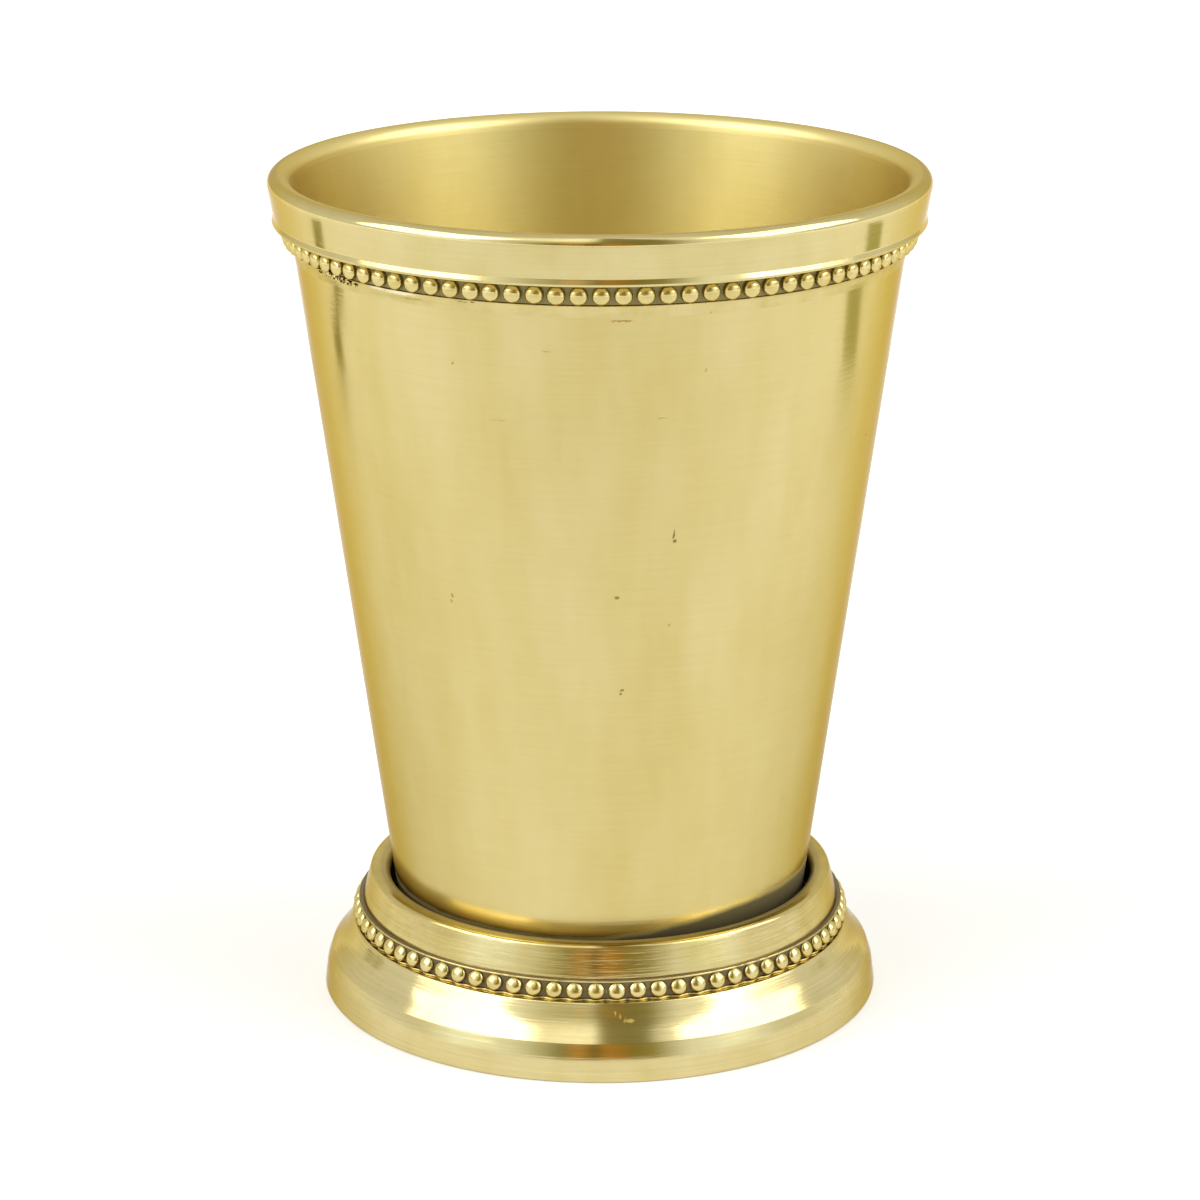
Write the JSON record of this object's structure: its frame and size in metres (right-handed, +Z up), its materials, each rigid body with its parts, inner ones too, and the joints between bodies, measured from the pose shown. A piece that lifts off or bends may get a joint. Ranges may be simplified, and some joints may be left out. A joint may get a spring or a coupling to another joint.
{
  "type": "julep cup",
  "caption": "Tapered brass cup on a flared stepped foot, with a rounded lip band and beaded wire under the rim and round the foot.",
  "frame": {"origin": "centre of the foot's resting plane", "axes": "+Z up along the cup's axis; the cup is the same all round, and -Y faces the camera in the picture"},
  "size_m": [0.0834, 0.0834, 0.1082],
  "materials": {
    "cup_brass": "satin brass, faintly mottled, dull inside",
    "band_brass": "polished brass",
    "bead_brass": "polished brass with dark patina between the beads",
    "collar_brass": "brass with fine turned lines",
    "skirt_brass": "brass with fine turned lines",
    "solder": "dull solder, darkened"
  },
  "bodies": {
    "root": {"cup_body": "cup_brass", "rim_band": "band_brass", "rim_bead_wire": "bead_brass", "rim_solder": "solder", "foot_collar": "collar_brass", "foot_skirt": "skirt_brass", "foot_bead_wire": "bead_brass", "foot_solder": "solder"}
  },
  "joints": []
}
